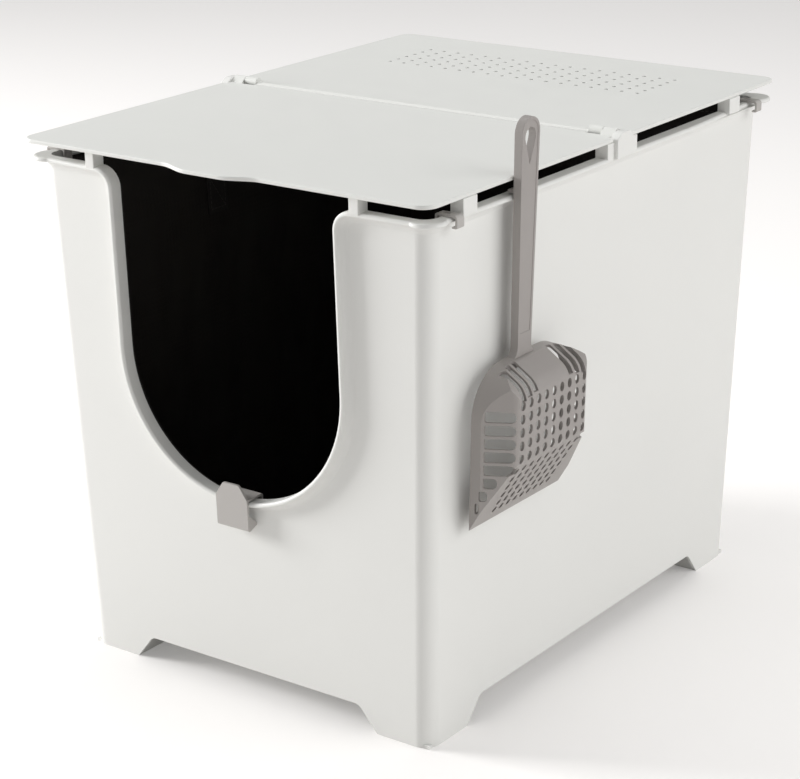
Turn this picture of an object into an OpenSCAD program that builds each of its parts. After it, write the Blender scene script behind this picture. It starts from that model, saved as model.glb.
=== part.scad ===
// Covered litter box with a U-shaped entry at the front, a two-leaf lid that folds
// about a cross hinge, a hanging liner bag and a scoop that hooks on the right rim.
// X runs to the right, Y to the back and Z up; the entry faces -Y.

/* [Tub] */
// Width of the tub's walls at the floor
base_w = 355.6; // [330:0.1:380]
// Length of the tub's walls at the floor
base_l = 475.6; // [450:0.1:500]
// Height of the rim's top face
rim_z = 432.5; // [420:0.5:450]
// Outward lean of the side walls, degrees
side_lean = 1.914; // [1:0.001:2.5]
// Outward lean of the front and rear walls, degrees
end_lean = 1.573; // [1:0.001:2.5]
// Wall thickness of the tub
wall_t = 3; // [2.5:0.1:4]
// Outer radius of the tub's upright corners
corner_r = 14; // [10:0.5:20]
// Height of the inside floor
floor_z = 30; // [27:0.5:40]
// Thickness of the floor
floor_t = 3; // [2.5:0.1:4]

/* [Feet] */
// Height of the arches between the feet
arch_h = 21.6; // [15:0.1:23]
// Width of the front and rear arches at the ground
arch_w = 254; // [200:1:280]
// Length of the side arches at the ground
arch_l = 370.6; // [300:0.1:400]
// How far each end of an arch leans in over its height
arch_lean = 17.5; // [8:0.5:25]
// Rounding of the arches' upper corners
arch_round = 9; // [3:0.5:14]

/* [Rim and entry] */
// How far the rim stands out from the front and side walls
rim_out = 9; // [6:0.5:12]
// How far the rim stands out from the rear wall
rim_out_rear = 13.5; // [6:0.5:16]
// Outer radius of the rim's corners
rim_corner = 15; // [8:0.5:23]
// Thickness of the rim and of the entry's lip
rim_t = 3.5; // [2.5:0.1:5]
// Fillet between the rim and the wall under it
rim_fillet = 6; // [2:0.5:8]
// Half the width of the entry, which is also the radius of its round bottom
entry_r = 109.5; // [90:0.5:115]
// Height of the centre of the entry's round bottom
entry_z = 285.5; // [260:0.5:310]
// Radius where the entry's lip turns into the rim
entry_flare = 16.5; // [12:0.5:20]
// How far the entry's lip stands out from the front wall
entry_out = 8.8; // [6:0.1:12]

/* [Lid rests] */
// Width of the two front posts beside the entry
post_w = 9; // [6:0.5:14]
// Length of the side tabs
tab_l = 18; // [12:0.5:26]
// Distance from the tub's middle to the middle of the front side tabs
tab_front = 211; // [190:1:225]
// Distance from the tub's middle to the middle of the rear side tabs
tab_rear = 187; // [170:1:205]

/* [Lid] */
// Width of both lid leaves
lid_w = 402; // [396:0.5:403]
// Distance from the tub's middle to the lid's front edge
lid_front = 263.6; // [260:0.1:268]
// Distance from the tub's middle to the lid's rear edge
lid_rear = 264; // [263.5:0.1:268]
// Height of the lid's underside
lid_z = 444.4; // [442:0.1:447]
// Thickness of the lid leaves
lid_t = 3.5; // [3:0.1:4]
// Radius of the lid's outer corners
lid_corner = 13; // [8:0.5:25]
// How far the finger lip stands out of the front edge
lip_out = 9.5; // [5:0.5:14]
// Width of the finger lip
lip_w = 98; // [80:1:140]
// Sideways place of the finger lip's middle
lip_x = -2; // [-6:0.5:6]

/* [Vents] */
// Diameter of one vent hole
vent_d = 4; // [2.5:0.1:5]
// Spacing of the vent holes along a row
vent_pitch = 15.4; // [12:0.1:20]
// Spacing of the rows
vent_row = 12.8; // [9:0.1:18]
// Number of rows
vent_rows = 6; // [3:1:8]
// Number of holes in a row
vent_cols = 18; // [8:1:20]
// Distance from the lid's rear edge to the rearmost row
vent_inset = 57; // [30:0.1:70]

/* [Hinge] */
// Distance of the hinge axis behind the tub's middle
hinge_y = 2; // [-4:0.5:8]
// Height of the hinge axis above the lid's top face
hinge_rise = 0.8; // [0.7:0.1:1.2]
// Radius of the hinge pins
pin_r = 2.2; // [1.8:0.1:2.4]
// Radial gap between a pin and the knuckles that turn on it
pin_play = 0.05; // [0.02:0.01:0.1]
// Radius of the hinge knuckles
knuckle_r = 4.2; // [3.9:0.1:4.6]
// Inner end of the knuckles, from the tub's middle
knuckle_x = 171.5; // [160:0.5:175]
// Outer face of the hinge ears, from the tub's middle
ear_x = 204.5; // [203:0.5:206]
// Length of the hinge ears
ear_l = 26; // [22:0.5:30]

/* [Liner] */
// Thickness of the liner's cloth as it hangs
liner_t = 1.8; // [1:0.1:2.5]
// Gap between the liner and the tub's walls
liner_gap = 1.2; // [0.8:0.1:2]
// Height of the liner's top edge
liner_top = 426; // [415:1:430]
// Width of a corner hook along the rim
hook_w = 9; // [8:0.5:16]
// Distance of the corner hooks from the tub's middle, front and rear
hook_y = 227; // [225:0.5:230]
// Thickness of the corner hooks and of the front clip
hook_t = 2; // [1.5:0.1:3]
// How far a corner hook reaches down outside the rim
hook_drop = 8; // [7:0.5:14]
// Width of the front clip
clip_w = 32; // [24:0.5:40]
// Sideways place of the front clip's middle
clip_x = -1.5; // [-5:0.5:5]
// Height of the clip's tongue above the entry's lip
tongue_h = 15; // [6:0.5:18]
// Width of the tongue at its top
tongue_w = 16; // [10:0.5:24]

/* [Scoop] */
// Width of the basket at its lip
scoop_lip_w = 126.6; // [110:0.1:135]
// Width of the basket near the handle
scoop_w = 127.6; // [115:0.1:140]
// Length of the basket
scoop_l = 128; // [120:0.5:140]
// Depth of the basket
scoop_depth = 33; // [26:0.5:38]
// Thickness of the basket's skin
scoop_t = 2.2; // [1.8:0.1:3]
// Length of the whole scoop
scoop_total = 313.5; // [280:0.5:320]
// Width of the handle at its top
grip_w = 24; // [20:0.5:30]
// Width of the handle where it meets the basket
neck_w = 18.5; // [14:0.5:22]
// Thickness of the handle
grip_t = 7; // [4:0.5:8]
// Sideways place of the handle's middle on the basket
grip_x = -4; // [-6:0.5:6]
// Width of the holes in the basket's front
scoop_hole = 6; // [4:0.1:6.5]
// Height of the slots in the basket's sides
scoop_slot = 8.2; // [5:0.1:9]

/* [Hidden] */
$fn = 64;

plastic = "whitesmoke";
grey_plastic = "darkgray";
cloth = "dimgray";

function side_x(z) = base_w / 2 + z * tan(side_lean);
function end_y(z) = base_l / 2 + z * tan(end_lean);

lid_top = lid_z + lid_t;
hinge_z = lid_top + hinge_rise;
rim_x = side_x(rim_z) + rim_out;
rim_y = end_y(rim_z) + rim_out;
rim_rear = end_y(rim_z) + rim_out_rear;
post_in = entry_r + entry_flare;

// The scoop hangs beside the wall and leans with it, just clear of the rim
hang_gap = 9.6;
scoop_z = 178.7;
scoop_x = side_x(scoop_z) + hang_gap;
scoop_y = -141;
scoop_out = scoop_x + (scoop_l - 23) * sin(side_lean) + scoop_depth * cos(side_lean);

// The part's origin is the middle of its footprint on the floor
frame_x = (scoop_out - ear_x) / 2;
frame_y = (lid_rear - lid_front - lip_out) / 2;
module placed() translate([-frame_x, -frame_y, 0]) children();

// Outline helpers

function unit(v) = v / norm(v);

// Points that round the corner b between a and c with radius r
function round_corner(a, b, c, r, n) =
    r == 0 ? [b] :
    let (u = unit(a - b), w = unit(c - b), half = acos(u * w) / 2,
         mid = b + unit(u + w) * r / sin(half),
         p = b + u * r / tan(half) - mid, q = b + w * r / tan(half) - mid,
         a0 = atan2(p[1], p[0]), turn = atan2(p[0] * q[1] - p[1] * q[0], p * q))
    [for (i = [0:n]) mid + r * [cos(a0 + turn * i / n), sin(a0 + turn * i / n)]];

// The polygon pts with each corner i rounded by radii[i]
function rounded(pts, radii, n = 6) =
    let (k = len(pts))
    [for (i = [0:k - 1]) each round_corner(pts[(i + k - 1) % k], pts[i], pts[(i + 1) % k],
                                           radii[i], n)];

function rounded_rect(hx, hy, r, n = 6) =
    rounded([[-hx, -hy], [hx, -hy], [hx, hy], [-hx, hy]], [r, r, r, r], n);

// Solid between two outlines that have the same number of points
module loft(low, low_z, high, high_z) {
    k = len(low);
    polyhedron(
        points = [for (p = low) [p[0], p[1], low_z], for (p = high) [p[0], p[1], high_z]],
        faces = [[for (i = [0:k - 1]) i], [for (i = [k - 1:-1:0]) k + i],
                 for (i = [0:k - 1]) [i, k + i, k + (i + 1) % k, (i + 1) % k]]);
}

// Block with the tub's leaning walls, grown by grow, from height z0 to z1
module wall_block(grow, z0, z1)
    loft(rounded_rect(side_x(z0) + grow, end_y(z0) + grow, corner_r + grow), z0,
         rounded_rect(side_x(z1) + grow, end_y(z1) + grow, corner_r + grow), z1);

module both_sides() {
    children();
    mirror([1, 0, 0]) children();
}

module both_ends() {
    children();
    mirror([0, 1, 0]) children();
}

// Puts a drawing on the leaning front wall: x to the right, y up the wall, z out of it
module on_front_wall()
    translate([0, -base_l / 2, 0]) rotate([90 + end_lean, 0, 0]) children();

// Tub

// Fillet under the rim or beside the entry's lip, rooted in the middle of the wall:
// x away from the edge, y out of the wall
module fillet_section() {
    root = wall_t / 2;
    difference() {
        translate([0, -root]) square([rim_t + rim_fillet, root + rim_fillet]);
        translate([rim_t + rim_fillet, rim_fillet]) circle(rim_fillet);
    }
}

// Section of the entry's lip with its fillet
module lip_section() {
    translate([0, -wall_t / 2]) square([rim_t, wall_t / 2 + entry_out]);
    fillet_section();
}

// The fillet under the rim stands upright at the origin: x out of the wall, y down
module under_rim() rotate(-90) fillet_section();

// Flat flange around the tub's top edge, left open at the entry
module flange() {
    root_x = side_x(rim_z) - wall_t / 2;
    root_y = end_y(rim_z) - wall_t / 2;
    translate([0, 0, rim_z - rim_t]) linear_extrude(rim_t) difference() {
        polygon(rounded([[-rim_x, -rim_y], [rim_x, -rim_y], [rim_x, rim_rear], [-rim_x, rim_rear]],
                        [rim_corner, rim_corner, rim_corner, rim_corner], 8));
        polygon(rounded_rect(root_x, root_y, corner_r - wall_t / 2, 8));
        translate([-post_in + 1, -2 * rim_y]) square([2 * post_in - 2, 2 * rim_y]);
    }
}

module rim() {
    run_x = side_x(rim_z) - corner_r;
    run_y = end_y(rim_z) - corner_r;
    flange();
    // sides
    both_sides() translate([side_x(rim_z), run_y, rim_z]) rotate([90, 0, 0])
        linear_extrude(2 * run_y) under_rim();
    // rear
    translate([-run_x, end_y(rim_z), rim_z]) rotate([90, 0, 90])
        linear_extrude(2 * run_x) under_rim();
    // front, on both sides of the entry
    both_sides() translate([post_in - 1, -end_y(rim_z), rim_z]) rotate([90, 0, 90])
        linear_extrude(run_x - post_in + 1) mirror([1, 0]) under_rim();
    // corners
    both_sides() both_ends() translate([run_x, run_y, rim_z])
        rotate_extrude(angle = 90) translate([corner_r, 0]) under_rim();
}

// Height on the leaning wall of the flare's centre; the flare stands flare_over above
// the rim and is cut off level with it
flare_over = 0.2;
flare_z = rim_z / cos(end_lean) - entry_flare + flare_over;

// The lip that runs down both sides of the entry and round its bottom
module entry_lip() difference() {
    on_front_wall() {
        translate([0, entry_z, 0]) rotate(180) rotate_extrude(angle = 180, $fn = 128)
            translate([entry_r, 0]) lip_section();
        both_sides() {
            translate([0, flare_z, 0]) rotate([90, 0, 0]) linear_extrude(flare_z - entry_z)
                translate([entry_r, 0]) lip_section();
            translate([post_in, flare_z, 0]) rotate(90) rotate_extrude(angle = 90)
                translate([entry_flare, 0]) mirror([1, 0]) lip_section();
        }
    }
    translate([-base_w, -base_l, rim_z]) cube([2 * base_w, base_l, rim_out]);
}

module entry_outline() {
    above = 20;
    translate([0, entry_z]) circle(entry_r, $fn = 128);
    translate([-entry_r, entry_z]) square([2 * entry_r, flare_z + entry_flare + above - entry_z]);
    both_sides() difference() {
        translate([entry_r - 1, flare_z]) square([entry_flare + 1, entry_flare + above]);
        translate([post_in, flare_z]) circle(entry_flare);
    }
}

module entry_cut() on_front_wall()
    translate([0, 0, -4 * wall_t]) linear_extrude(4 * wall_t + 2 * rim_out) entry_outline();

function arch_outline(half) =
    rounded([[-half - arch_lean, -arch_h], [half + arch_lean, -arch_h],
             [half - arch_lean, arch_h], [-half + arch_lean, arch_h]],
            [0, 0, arch_round, arch_round]);

module arches() {
    rotate([90, 0, 0]) linear_extrude(2 * base_l, center = true)
        polygon(arch_outline(arch_w / 2));
    rotate([90, 0, 90]) linear_extrude(2 * base_w, center = true)
        polygon(arch_outline(arch_l / 2));
}

// Depth of everything that stands on the rim, from its outer edge
rest_deep = rim_out + wall_t;

// Posts and tabs on the rim that the lid rests on
module lid_rests() {
    both_sides() translate([post_in, -rim_y, rim_z - rim_t])
        cube([post_w, rest_deep, lid_z - rim_z + rim_t]);
    for (y = [-tab_front, tab_rear]) both_sides()
        translate([rim_x - rest_deep, y - tab_l / 2, rim_z - rim_t])
            cube([rest_deep, tab_l, lid_z - rim_z + rim_t]);
}

// Shoulder on each side rim, level with the tabs, with the low rounded ear that holds
// a hinge pin at its outer end
module hinge_ears() {
    shoulder_l = 45;
    crown = hinge_z + knuckle_r - 1.5;
    shoulder_h = lid_z - rim_z + rim_t;
    half = ear_l / 2;
    both_sides() {
        translate([rim_x - rest_deep, hinge_y - shoulder_l / 2, rim_z - rim_t])
            cube([rest_deep, shoulder_l, shoulder_h]);
        translate([hinge_end, hinge_y, 0]) rotate([90, 0, 90]) linear_extrude(ear_x - hinge_end)
            polygon(rounded([[-half, rim_z - rim_t], [half, rim_z - rim_t], [half, lid_z],
                             [half / 2, crown], [-half / 2, crown], [-half, lid_z + 2]],
                            [0, 0, 3, 8, 8, 3]));
    }
}

// Where the lid's knuckles end and the ears begin
hinge_end = 196.8;
knuckle_split = 184;
knuckle_gap = 0.4;
pin_end = 202;
// How much deeper the ear's blind hole is than its pin
bore_spare = 0.2;

module tub() color(plastic) placed() difference() {
    union() {
        difference() {
            wall_block(0, 0, rim_z);
            wall_block(-wall_t, floor_z, rim_z + 1);
            wall_block(-wall_t, -1, floor_z - floor_t);
        }
        rim();
        entry_lip();
        lid_rests();
        hinge_ears();
        foot_pads();
    }
    arches();
    entry_cut();
    both_sides() translate([hinge_end - 1, hinge_y, hinge_z]) rotate([0, 90, 0])
        cylinder(r = pin_r, h = pin_end + bore_spare - hinge_end + 1);
}

// Thick foot soles and the ribs that tie them to the floor, inside the four corners
module foot_pads() {
    sole_t = 3;
    reach_x = side_x(0) - arch_w / 2;
    reach_y = end_y(0) - arch_l / 2;
    intersection() {
        wall_block(-wall_t / 2, 0, floor_z - floor_t / 2);
        both_sides() both_ends() union() {
            translate([arch_w / 2, arch_l / 2, 0]) cube([reach_x, reach_y, sole_t]);
            translate([arch_w / 2, arch_l / 2, 0]) cube([wall_t, reach_y, floor_z]);
            translate([arch_w / 2, arch_l / 2, 0]) cube([reach_x, wall_t, floor_z]);
        }
    }
}

// Lid

bead_w = 8;
leaf_gap = 1;
notch = ear_l / 2 + 0.5;

// How far the finger lip stands out at a distance x from its middle: flat in the
// middle third, with a smooth step down on both sides
function lip_bulge(x) =
    let (t = min(1, (lip_w / 2 - abs(x)) / (lip_w / 3))) lip_out * t * t * (3 - 2 * t);

function front_edge() =
    [for (i = [0:18]) let (x = lip_w * (i / 18 - 0.5)) [lip_x + x, -lid_front - lip_bulge(x)]];

module front_outline() {
    back = hinge_y - bead_w / 2 - leaf_gap;
    hx = lid_w / 2;
    polygon(concat(front_edge(),
        round_corner([0, -lid_front], [hx, -lid_front], [hx, 0], lid_corner, 8),
        [[hx, hinge_y - notch], [hinge_end - knuckle_gap, hinge_y - notch],
         [hinge_end - knuckle_gap, back], [knuckle_split + knuckle_gap, back],
         [knuckle_split + knuckle_gap, back - 2], [knuckle_x - knuckle_gap, back - 2],
         [knuckle_x - knuckle_gap, back]],
        [[-knuckle_x + knuckle_gap, back],
         [-knuckle_x + knuckle_gap, back - 2], [-knuckle_split - knuckle_gap, back - 2],
         [-knuckle_split - knuckle_gap, back], [-hinge_end + knuckle_gap, back],
         [-hinge_end + knuckle_gap, hinge_y - notch], [-hx, hinge_y - notch]],
        round_corner([-hx, 0], [-hx, -lid_front], [0, -lid_front], lid_corner, 8)));
}

module rear_outline() {
    hx = lid_w / 2;
    front = hinge_y + bead_w / 2 + leaf_gap;
    ear_back = hinge_y + notch;
    polygon(concat(
        [[-hx, ear_back], [-knuckle_split, ear_back], [-knuckle_split, front],
         [-knuckle_x, hinge_y], [knuckle_x, hinge_y],
         [knuckle_split, front], [knuckle_split, ear_back], [hx, ear_back]],
        round_corner([hx, 0], [hx, lid_rear], [0, lid_rear], lid_corner, 8),
        round_corner([0, lid_rear], [-hx, lid_rear], [-hx, 0], lid_corner, 8)));
}

// Knuckle on both ends of the hinge axis, from x0 to x1, with the web to its leaf
module knuckles(x0, x1, side) both_sides() translate([x0, hinge_y, hinge_z]) {
    rotate([0, 90, 0]) cylinder(r = knuckle_r, h = x1 - x0);
    translate([0, side > 0 ? 0 : -bead_w, lid_z - hinge_z])
        cube([x1 - x0, bead_w, hinge_z - lid_z]);
}

module pin_bores() both_sides() translate([knuckle_x - 1, hinge_y, hinge_z])
    rotate([0, 90, 0]) cylinder(r = pin_r + pin_play, h = hinge_end - knuckle_x + 2);

module front_lid() color(plastic) placed() difference() {
    union() {
        translate([0, 0, lid_z]) linear_extrude(lid_t) front_outline();
        knuckles(knuckle_split + knuckle_gap, hinge_end - knuckle_gap, -1);
    }
    pin_bores();
}

module vents() for (i = [0:vent_cols - 1], j = [0:vent_rows - 1])
    translate([(i - (vent_cols - 1) / 2) * vent_pitch, lid_rear - vent_inset - j * vent_row,
               lid_z - 1])
        cylinder(d = vent_d, h = lid_t + 2, $fn = 16);

// Low rounded bead along the front edge of the rear leaf, over the hinge line
module hinge_bead() {
    crown_r = 6;
    bead_top = lid_top + 1.5;
    translate([-knuckle_x, hinge_y, 0]) rotate([90, 0, 90]) linear_extrude(2 * knuckle_x)
        intersection() {
            translate([0, bead_top - crown_r]) circle(crown_r);
            translate([-bead_w / 2, lid_z]) square([bead_w, bead_top - lid_z]);
        }
}

module rear_lid() color(plastic) placed() difference() {
    union() {
        translate([0, 0, lid_z]) linear_extrude(lid_t) rear_outline();
        hinge_bead();
        knuckles(knuckle_x, knuckle_split, 1);
    }
    pin_bores();
    vents();
}

module hinge_pin() translate([knuckle_x + 1, hinge_y, hinge_z]) rotate([0, 90, 0])
    cylinder(r = pin_r, h = pin_end - knuckle_x - 1);

module hinge_pin_right() color("silver") placed() hinge_pin();
module hinge_pin_left() color("silver") placed() mirror([1, 0, 0]) hinge_pin();

// Liner

// Cloth bag that hangs inside the tub, cut down at the front to the entry's outline
module liner_bag() color(cloth) placed() {
    skin = wall_t + liner_gap;
    low = floor_z + liner_gap;
    cut_r = entry_r + 1;
    cut_in = 60;
    cut_out = 10;
    difference() {
        wall_block(-skin, low, liner_top);
        wall_block(-skin - liner_t, low + liner_t, liner_top + 1);
        on_front_wall() translate([0, 0, -cut_in]) linear_extrude(cut_in + cut_out) {
            translate([0, entry_z]) circle(cut_r, $fn = 96);
            translate([-cut_r, entry_z]) square([2 * cut_r, rim_z - entry_z]);
        }
    }
}

// Webbing grip on the inside of one long side of the bag
module liner_handle() {
    strap_w = 25;
    strap_t = 1.5;
    grip_l = 120;
    grip_h = 70;
    bend_r = 30;
    off_cloth = 1.2;
    top_z = liner_top - 15;
    half = grip_l / 2;
    inside = side_x(top_z) - wall_t - liner_gap - liner_t - off_cloth;
    translate([inside, 0, top_z]) rotate([0, side_lean - 90, 0])
        linear_extrude(strap_t) difference() {
            polygon(rounded([[0, -half], [0, half], [-grip_h, half], [-grip_h, -half]],
                            [bend_r, bend_r, 0, 0]));
            polygon(rounded([[-strap_w, -half + strap_w], [-strap_w, half - strap_w],
                             [-grip_h - 1, half - strap_w], [-grip_h - 1, -half + strap_w]],
                            [bend_r / 3, bend_r / 3, 0, 0]));
        }
}

module liner_handle_right() color(cloth) placed() liner_handle();
module liner_handle_left() color(cloth) placed() mirror([1, 0, 0]) liner_handle();

// Hook that carries a top corner of the liner over the side rim, with its tip turned
// in under the flange
module liner_hook(y) {
    cloth_in = side_x(liner_top) - wall_t - liner_gap - liner_t;
    slack = 0.4;
    inner = cloth_in - slack - hook_t;
    inner_drop = 13;
    outer = rim_x + 0.3;
    low = rim_z - hook_drop;
    tip_in = 3;
    tip_t = 1.5;
    translate([0, y + hook_w / 2, 0]) rotate([90, 0, 0]) linear_extrude(hook_w)
        polygon(rounded([[inner, rim_z - inner_drop], [inner + hook_t, rim_z - inner_drop],
                         [inner + hook_t, rim_z], [outer, rim_z], [outer, low + tip_t],
                         [outer - tip_in, low + tip_t], [outer - tip_in, low],
                         [outer + hook_t, low], [outer + hook_t, rim_z + hook_t],
                         [inner, rim_z + hook_t]],
                        [0, 0, 0, 0, 0.5, 0.5, 0.5, 1.5, 3, 2]));
}

module liner_hook_front_right() color(grey_plastic) placed() liner_hook(-hook_y);
module liner_hook_front_left() color(grey_plastic) placed()
    mirror([1, 0, 0]) liner_hook(-hook_y);
module liner_hook_rear_right() color(grey_plastic) placed() liner_hook(hook_y);
module liner_hook_rear_left() color(grey_plastic) placed()
    mirror([1, 0, 0]) liner_hook(hook_y);

// Clip that holds the liner's front edge down over the entry's lip, with a barb under
// the lip and a tongue above it; its section is drawn with x out of the wall, y up it
module liner_clip() color(grey_plastic) placed() on_front_wall() {
    lip_low = entry_z - entry_r;
    under = lip_low + 1.8;
    top = under + hook_t;
    front = entry_out + 0.5;
    out = front + hook_t;
    back = -wall_t - liner_gap - liner_t - 1;
    back_low = lip_low - 9;
    barb = lip_low - rim_t - rim_fillet - 0.5;
    foot = lip_low - 24.5;
    toe = 0.5;
    rotate([0, -90, 0]) translate([0, 0, -clip_x - clip_w / 2]) linear_extrude(clip_w)
        polygon(rounded([[back - hook_t, back_low], [back, back_low], [back, under],
                         [front, under], [front, barb], [toe, foot + 6], [toe, foot + 4],
                         [out, foot], [out, top], [back - hook_t, top]],
                        [0, 0, 0, 0, 2, 0, 0, 1.5, 2, 2]));
    translate([clip_x, 0, front]) linear_extrude(hook_t)
        polygon([[-clip_w / 2, top - hook_t], [clip_w / 2, top - hook_t],
                 [tongue_w / 2, lip_low + tongue_h], [-tongue_w / 2, lip_low + tongue_h]]);
}

// Scoop, drawn with x across it, y up from the basket's lip and z out from the wall

slope_l = 58;
shoulder_r = 38;
// Where the front face turns into the top face, and the top face's depth at its rear
top_turn = scoop_l - 14;
top_rear = 10;
front_half = 48.5;

// Outline seen from the front, pulled in by t on its sides and top
function basket_front(t) =
    let (a = scoop_lip_w / 2 - t, b = scoop_w / 2 - t, top = scoop_l - t)
    rounded([[-a, -1], [a, -1], [b, top], [-b, top]], [0, 0, shoulder_r - t, shoulder_r - t], 8);

// Outline seen from the side: y up, z out; the lip is a thin edge at y = 0
function basket_side(t) =
    rounded([[t * 2, -0.1 - t], [slope_l, scoop_depth - t], [top_turn, scoop_depth - t],
             [scoop_l - t, top_rear], [scoop_l - t, -0.1 - t]], [0, 12, 16, 4, 0], 6);

// Outline seen from above: x across, z out
function basket_plan(t) =
    let (a = scoop_w / 2 + 1 - t, b = front_half - t * 0.6, knee = 7)
    rounded([[-a, -0.1 - t], [a, -0.1 - t], [a, knee], [b, scoop_depth - t],
             [-b, scoop_depth - t], [-a, knee]], [0, 0, 3, 7, 7, 3], 5);

module basket_block(t) intersection() {
    translate([0, 0, -t - 1]) linear_extrude(scoop_depth + t + 1) polygon(basket_front(t));
    rotate([90, 0, 90]) linear_extrude(2 * scoop_w, center = true) polygon(basket_side(t));
    rotate([90, 0, 0]) translate([0, 0, -2 * scoop_l]) linear_extrude(4 * scoop_l)
        polygon(basket_plan(t));
}

hole_pitch = 10.75;

module basket_holes() for (i = [-4:4]) {
    // front face
    for (j = [0:4]) translate([i * hole_pitch, slope_l + 2.5 + j * hole_pitch, 10])
        cylinder(d = scoop_hole, h = scoop_depth, $fn = 16);
    // slanting face
    for (j = [0:4]) translate([i * hole_pitch, 13 + j * 8.3, 1])
        cylinder(d = scoop_hole - 0.8, h = scoop_depth, $fn = 16);
}

// Slots in the slanting sides, shorter towards the lip, and slots that wrap over the
// shoulders
module basket_slots() both_sides() {
    for (j = [0:6]) let (y = 26.2 + j * hole_pitch, reach = min(20, y * 0.57 - 10))
        translate([51, y, 6]) cube([30, scoop_slot, reach]);
    for (i = [0:2]) translate([23 + i * 8.5, scoop_l - 22, 14]) cube([6, 40, 15]);
}

module handle() translate([grip_x, 0, 0]) {
    top = scoop_total - grip_w / 2;
    eye_r = 7;
    eye_y = top - 3;
    eye_tail = 21;
    difference() {
        linear_extrude(grip_t) {
            translate([0, top]) circle(grip_w / 2);
            polygon([[-neck_w / 2, scoop_l - 4], [neck_w / 2, scoop_l - 4],
                     [grip_w / 2, top], [-grip_w / 2, top]]);
            // web that spreads into the basket
            polygon([[-neck_w / 2, scoop_l + 10], [neck_w / 2, scoop_l + 10],
                     [neck_w / 2 + 12, scoop_l - 1.5], [-neck_w / 2 - 12, scoop_l - 1.5]]);
        }
        // teardrop eye
        translate([0, 0, -1]) linear_extrude(grip_t + 2) {
            translate([0, eye_y]) circle(eye_r);
            polygon([[-6.6, eye_y - 2.3], [6.6, eye_y - 2.3], [0, eye_y - eye_tail]]);
        }
    }
}

module scoop_body() {
    difference() {
        basket_block(0);
        basket_block(scoop_t);
        basket_holes();
        basket_slots();
    }
    handle();
}

// Arm behind the handle that reaches over the rim under the lid
module hang_arm() {
    arm_w = 16;
    arm_t = 3;
    arm_in = 7.5;
    over_rim = 0.9;
    arm_y = (rim_z + over_rim - scoop_z) / cos(side_lean);
    translate([grip_x - arm_w / 2, arm_y, -arm_in]) cube([arm_w, arm_t, arm_in]);
}

module hung() placed() translate([scoop_x, scoop_y, scoop_z])
    rotate([0, side_lean, 0]) rotate([90, 0, 90]) children();

module scoop() color(grey_plastic) hung() scoop_body();

// The hook is a block of its own, joined to the back of the handle
module scoop_hook() color(grey_plastic) hung() hang_arm();

tub();
front_lid();
rear_lid();
hinge_pin_left();
hinge_pin_right();
liner_bag();
liner_handle_left();
liner_handle_right();
liner_hook_front_left();
liner_hook_front_right();
liner_hook_rear_left();
liner_hook_rear_right();
liner_clip();
scoop();
scoop_hook();
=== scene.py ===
import math

import bmesh
import bpy
from mathutils import Matrix, Vector


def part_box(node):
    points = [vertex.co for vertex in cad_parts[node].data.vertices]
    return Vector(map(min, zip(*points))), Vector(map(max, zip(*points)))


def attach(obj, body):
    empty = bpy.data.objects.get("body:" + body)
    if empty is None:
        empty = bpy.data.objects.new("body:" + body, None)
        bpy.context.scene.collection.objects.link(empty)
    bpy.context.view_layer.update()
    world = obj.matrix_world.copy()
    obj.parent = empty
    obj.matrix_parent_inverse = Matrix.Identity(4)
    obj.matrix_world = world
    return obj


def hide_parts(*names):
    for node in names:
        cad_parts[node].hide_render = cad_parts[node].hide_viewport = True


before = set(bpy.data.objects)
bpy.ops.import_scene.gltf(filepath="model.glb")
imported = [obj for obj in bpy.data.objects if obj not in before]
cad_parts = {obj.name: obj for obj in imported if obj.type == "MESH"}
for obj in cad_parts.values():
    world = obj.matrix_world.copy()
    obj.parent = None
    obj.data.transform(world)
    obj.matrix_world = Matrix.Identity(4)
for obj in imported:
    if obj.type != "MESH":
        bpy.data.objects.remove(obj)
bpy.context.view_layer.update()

MM = 0.001

# The driving dimensions of the part, in mm, measured from the tub's middle
BASE_W, BASE_L = 355.6, 475.6
RIM_Z = 432.5
SIDE_LEAN, END_LEAN = math.radians(1.914), math.radians(1.573)
WALL_T = 3.0
CORNER_R = 14.0
FLOOR_Z, FLOOR_T = 30.0, 3.0
ARCH_H, ARCH_W, ARCH_L, ARCH_LEAN, ARCH_ROUND = 21.6, 254.0, 370.6, 17.5, 9.0
RIM_OUT, RIM_OUT_REAR, RIM_CORNER, RIM_T, RIM_FILLET = 9.0, 13.5, 15.0, 3.5, 6.0
ENTRY_R, ENTRY_Z, ENTRY_FLARE, ENTRY_OUT = 109.5, 285.5, 16.5, 8.8
POST_W = 9.0
TAB_L, TAB_FRONT, TAB_REAR = 18.0, 211.0, 187.0
LID_W, LID_FRONT, LID_REAR = 402.0, 263.6, 264.0
LID_Z, LID_T, LID_CORNER = 444.4, 3.5, 13.0
FINGER_OUT, FINGER_W, FINGER_X = 9.5, 98.0, -2.0
VENT_D, VENT_PITCH, VENT_ROW, VENT_ROWS, VENT_COLS, VENT_INSET = 4.0, 15.4, 12.8, 6, 18, 57.0
HINGE_Y = 2.0
LID_TOP = LID_Z + LID_T
HINGE_Z = LID_TOP + 0.8
KNUCKLE_R, KNUCKLE_X, KNUCKLE_SPLIT = 4.2, 171.5, 184.0
HINGE_END, EAR_X, EAR_L = 196.8, 204.5, 26.0
BEAD_W, LEAF_GAP, NOTCH, KNUCKLE_GAP = 8.0, 1.0, 13.5, 0.4
LINER_GAP, LINER_T, LINER_TOP = 1.2, 1.8, 426.0
HOOK_W, HOOK_Y, HOOK_T, HOOK_DROP = 9.0, 227.0, 2.0, 8.0
CLIP_W, CLIP_X, TONGUE_H, TONGUE_W = 32.0, -1.5, 15.0, 16.0
SCOOP_LIP_W, SCOOP_W, SCOOP_L, SCOOP_DEPTH, SCOOP_T = 126.6, 127.6, 128.0, 33.0, 2.2
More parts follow.
